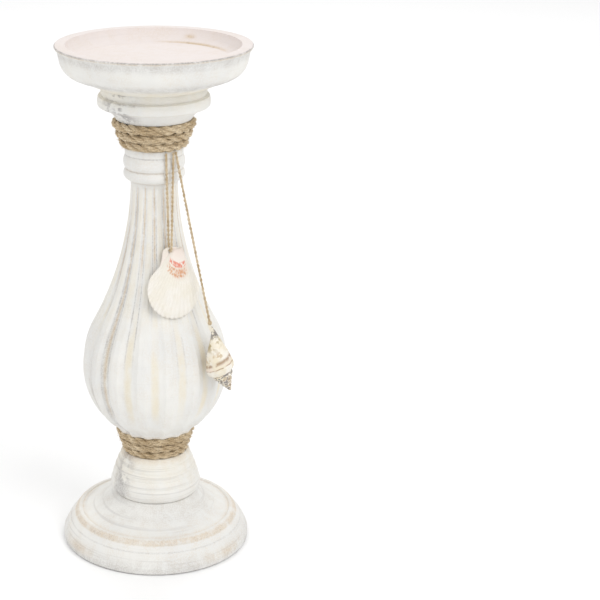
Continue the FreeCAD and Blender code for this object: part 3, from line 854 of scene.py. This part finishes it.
def makeWhelk(size, material):
    # wind holds the place on the ring, the turns back from the mouth and how far it is from the apex
    shell = bmesh.new()
    wind = shell.verts.layers.float_vector.new("wind")
    ring = whorlRing(size, shell, wind)
    total = int(size["turns"] * size["steps"])
    step = size["growth"] ** (1 / size["steps"])
    smallest = size["growth"] ** -size["turns"]
    bmesh.ops.scale(shell, verts=ring, vec=(smallest,) * 3)
    bmesh.ops.contextual_create(shell, geom=list({edge for v in ring for edge in v.link_edges}))
    edges = shell.edges[:]
    turn = Matrix.Rotation(math.tau / size["steps"], 4, "Z")
    for i in range(total):
        grown = bmesh.ops.extrude_edge_only(shell, edges=edges)["geom"]
        verts = [item for item in grown if isinstance(item, bmesh.types.BMVert)]
        edges = [item for item in grown if isinstance(item, bmesh.types.BMEdge)]
        bmesh.ops.transform(shell, matrix=Matrix.Scale(step, 4) @ turn, verts=verts)
        for vertex in verts:
            vertex[wind] = (vertex[wind].x, (total - 1 - i) / size["steps"], 0)
    rim = bmesh.ops.extrude_edge_only(shell, edges=edges)["geom"]
    lip = [item for item in rim if isinstance(item, bmesh.types.BMVert)]
    middle = sum((vertex.co for vertex in lip), Vector()) / len(lip)
    bmesh.ops.scale(shell, verts=lip, vec=size["lip"], space=Matrix.Translation(-middle))
    inner = [item for item in rim if isinstance(item, bmesh.types.BMEdge)]
    deep = bmesh.ops.extrude_edge_only(shell, edges=inner)["geom"]
    throat = [item for item in deep if isinstance(item, bmesh.types.BMVert)]
    back = Matrix.Rotation(-math.tau * size["throatTurn"], 4, "Z") @ Matrix.Scale(size["throat"], 4)
    bmesh.ops.transform(shell, matrix=back, verts=throat)
    innermost = [item for item in deep if isinstance(item, bmesh.types.BMEdge)]
    bmesh.ops.contextual_create(shell, geom=innermost)
    bmesh.ops.recalc_face_normals(shell, faces=shell.faces)
    for vertex in shell.verts:
        angle = math.atan2(vertex.co.y, vertex.co.x)
        far = max(vertex.co.z / size["length"], 0.001)
        vertex[wind] = (vertex[wind].x, vertex[wind].y, far)
        fade = min(1, max(0, (size["ribHead"] - far) / 0.15))
        swell = size["ribHeight"] * math.cos(size["ribs"] * angle) * fade
        thread = size["threadHeight"] * math.sin(size["threads"] * math.log(far * 10))
        vertex.co.x *= 1 + swell + thread
        vertex.co.y *= 1 + swell + thread
    tip, apex = Vector(size["tip"]), Vector(size["apex"])
    down = (tip - apex).normalized()
    turned = down.to_track_quat("Z", "Y").to_matrix().to_4x4()
    around = Matrix.Rotation(math.radians(size["aperture"]), 4, "Z")
    bmesh.ops.transform(shell, matrix=Matrix.Translation(apex) @ turned @ around, verts=shell.verts)
    for vertex in shell.verts:
        bend = 4 * vertex[wind].z * (1 - min(1, vertex[wind].z))
        vertex.co += Vector(size["lean"]) * bend
    mesh = bpy.data.meshes.new("whelk")
    shell.to_mesh(mesh)
    shell.free()
    return placePiece("whelk", mesh, "whelk", "whelk_spire", material, "whelk_shell")


def whelkPaint(tints):
    paint = Paint("whelkPaint")
    wind = paint.add("Attribute", attribute_name="wind", output="Vector")
    along, back, far = [paint.add("SeparateXYZ", [wind], output=i) for i in range(3)]
    soft = paint.noise(170, 4)
    patch = paint.noise(230, 5, shift=(0.2, 0.7, 0.3))
    fine = paint.noise(850, 4)
    tint = paint.mix(soft.step(0.35, 0.65), tints["cream"], tints["white"])
    tint = paint.mix(along.near(-0.74, 0.28) * patch.step(0.45, 0.55) * 0.85, tint, tints["olive"])
    tint = paint.mix(along.near(-0.42, 0.18) * patch.step(0.52, 0.60) * 0.7, tint, tints["tan"])
    stripes = along.near(-0.23, 0.09).most(along.near(-0.02, 0.06))
    tint = paint.mix(stripes * patch.step(0.38, 0.52) * 0.85, tint, tints["brown"])
    tint = paint.mix(along.near(-0.10, 0.14) * soft.step(0.38, 0.56) * 0.5, tint, tints["pink"])
    spire = back.step(0.62, 0.85) * along.step(-0.85, -0.6)
    tint = paint.mix(spire * fine.step(0.47, 0.53) * 0.9, tint, tints["grey"])
    tint = paint.mix(spire * patch.step(0.52, 0.62) * 0.5, tint, tints["tan"])
    tint = paint.mix(far.step(0.82, 0.90) * fine.step(0.44, 0.52) * 0.9, tint, tints["grey"])
    paint.use(Base_Color=tint, Roughness=0.36 + fine * 0.3, Coat_Weight=0.1)
    threads = (far.math("LOGARITHM", math.e) * whelkSize["threads"]).math("SINE")
    paint.bump(threads * 0.5 + fine * 0.5 + soft * 0.4, 0.4, 0.0004)
    return paint.material


makeWhelk(whelkSize, whelkPaint(whelkTint))
print("whelk made")

# finishes on the turned wood and the fixings


def giveFinish(node, material):
    mesh = nodes[node].data
    mesh.materials.clear()
    mesh.materials.append(material)


giveFinish("base", chalkPaint("basePaint", baseWear, baseGrey, lathe=0.26, grained=0.5))
giveFinish("foot_hub", chalkPaint("hubPaint", hubWear, hubGrey, hubCream, lathe=0.34, grained=0.45))
giveFinish("stem", chalkPaint("stemPaint", stemWear, stemGrey, stemCream, lathe=0.05, grained=0.4))
giveFinish("capital", chalkPaint(
    "capitalPaint", capitalWear, capitalGrey, capitalCream, lathe=0.06, grained=0.2))
giveFinish("dish", chalkPaint(
    "dishPaint", dishWear, dishGrey, dishCream, dishBlush, lathe=0.06, grained=0.45))
giveFinish("dish_dowel", bareWood("dishDowelWood"))
giveFinish("neck_dowel", bareWood("neckDowelWood"))
giveFinish("felt_disc", pressedFelt("feltFinish"))
giveFinish("base_screw", zincSteel("screwZinc"))
giveFinish("base_washer", zincSteel("washerZinc"))
print("wood painted")

# floor and light

studio = {
    "floor": (0.95, 0.95, 0.95), "floorSize": 8.0, "sky": 0.77,
    "key": {"place": (1.2, -1.3, 1.7), "size": 1.3, "power": 17.5},
    "fill": {"place": (-1.4, -0.9, 1.2), "size": 1.5, "power": 6},
    "back": {"place": (0.1, 1.5, 1.7), "size": 1.6, "power": 11},
    "aim": (0.0, 0.0, 0.14),
}


def makeStudio(look):
    plane = bmesh.new()
    bmesh.ops.create_grid(plane, x_segments=1, y_segments=1, size=look["floorSize"])
    mesh = bpy.data.meshes.new("floor")
    plane.to_mesh(mesh)
    plane.free()
    floor = bpy.data.objects.new("floor", mesh)
    scene.collection.objects.link(floor)
    paint = Paint("floorPaint")
    paint.use(Base_Color=(*look["floor"], 1), Roughness=0.9, Specular_IOR_Level=0.1)
    mesh.materials.append(paint.material)
    world = bpy.data.worlds.new("studio")
    world.use_nodes = True
    sky = world.node_tree.nodes["Background"]
    sky.inputs["Color"].default_value = (1, 1, 1, 1)
    sky.inputs["Strength"].default_value = look["sky"]
    scene.world = world
    for name in ("key", "fill", "back"):
        lamp = look[name]
        data = bpy.data.lights.new(name, "AREA")
        data.size = lamp["size"]
        data.energy = lamp["power"]
        light = bpy.data.objects.new(name, data)
        way = Vector(look["aim"]) - Vector(lamp["place"])
        turned = way.to_track_quat("-Z", "Y").to_matrix().to_4x4()
        light.matrix_world = Matrix.Translation(lamp["place"]) @ turned
        scene.collection.objects.link(light)


makeStudio(studio)
scene.view_settings.view_transform = "Standard"
print("studio lit")
